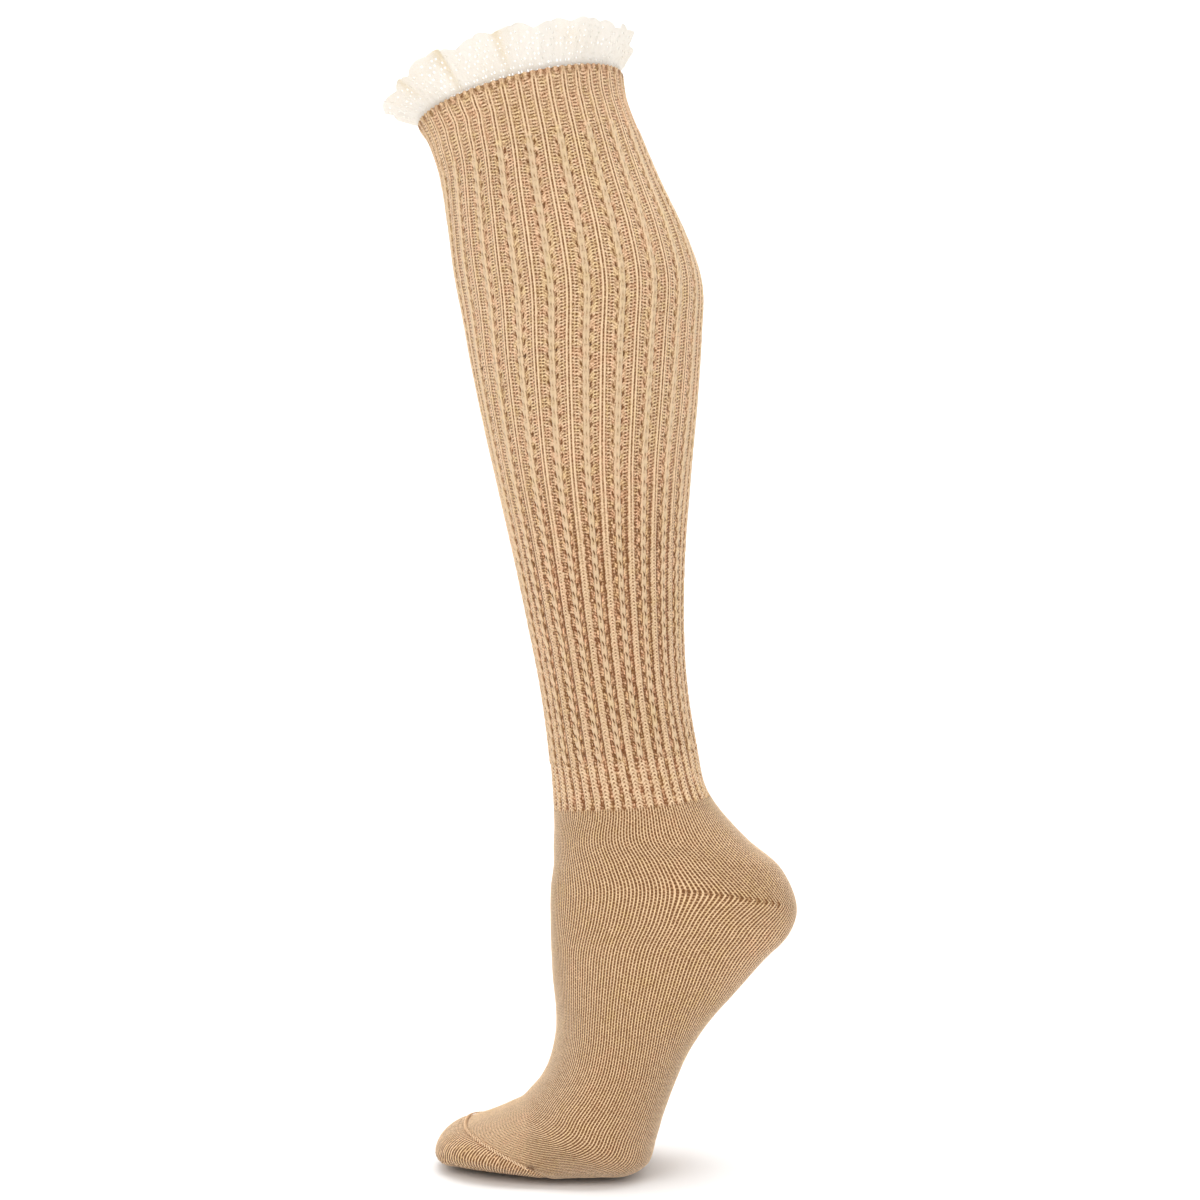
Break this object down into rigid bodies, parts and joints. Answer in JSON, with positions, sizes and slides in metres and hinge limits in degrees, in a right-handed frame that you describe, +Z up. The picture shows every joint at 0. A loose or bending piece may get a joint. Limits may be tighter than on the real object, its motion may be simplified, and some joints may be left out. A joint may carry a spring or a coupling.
{
  "type": "knee-high sock with gathered lace edge, one of a pair, hollow as worn on tiptoe",
  "caption": "Hollow knee-high knitted cotton sock in a worn tiptoe pose, with cable-ribbed leg, turned heel, linked toe and a gathered lace frill at the open top.",
  "frame": {"origin": "on the leg's axis in the middle of the welt, where the leg holds the sock up", "axes": "+Z up as the sock is worn, -X the way the toe points, Y = 0 the plane that halves the sock"},
  "size_m": [0.1947, 0.1265, 0.5348],
  "materials": {
    "knit_cotton": "matt camel-tan cotton knit: rib, twisted chain rib and stockinette",
    "lace_cotton": "matt ivory cotton lace, gathered, with a scalloped edge"
  },
  "bodies": {
    "root": {"welt": "knit_cotton", "leg": "knit_cotton", "ankle_rib": "knit_cotton", "foot": "knit_cotton", "toe_cap": "knit_cotton", "lace_frill": "lace_cotton"}
  },
  "joints": []
}
